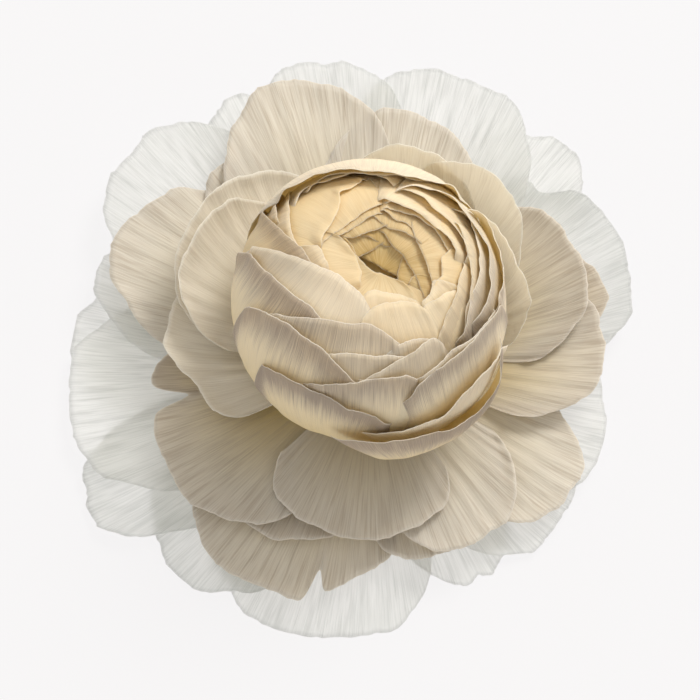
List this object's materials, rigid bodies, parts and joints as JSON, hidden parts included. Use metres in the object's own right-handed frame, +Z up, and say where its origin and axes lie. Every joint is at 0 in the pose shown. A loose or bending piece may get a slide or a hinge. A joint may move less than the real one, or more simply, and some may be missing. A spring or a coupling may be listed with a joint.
{
  "type": "ranunculus flower",
  "caption": "Open double ranunculus bloom, face up, a round head of wrapped petals over cupped collar petals and wide flat outer petals, with sepals and a cut stem stub beneath.",
  "frame": {"origin": "centre of the flower's outline seen from above, on the surface that it lies on", "axes": "+Z up through the bloom, which faces up; the head leans towards +Y, and -Y is the near side in the picture"},
  "size_m": [0.1014, 0.1078, 0.053],
  "materials": {
    "stem_green": "soft matte plant stem, pale green with fine hairs",
    "sepal_green": "soft matte leafy green, paler at the edges",
    "guard_white": "thin satin petal, cool white with fine fanned veins",
    "spread_cream": "thin satin petal, greyed cream with fine fanned veins",
    "collar_cream": "thin satin petal, warm cream with fine fanned veins",
    "head_cream": "thin satin petal, cream to pale yellow, deeper inside"
  },
  "bodies": {
    "root": {"stem_and_receptacle": "stem_green", "sepals": "sepal_green", "guard_petals": "guard_white", "spread_petals": "spread_cream", "collar_petals": "collar_cream", "head_petals": "head_cream"}
  },
  "joints": []
}
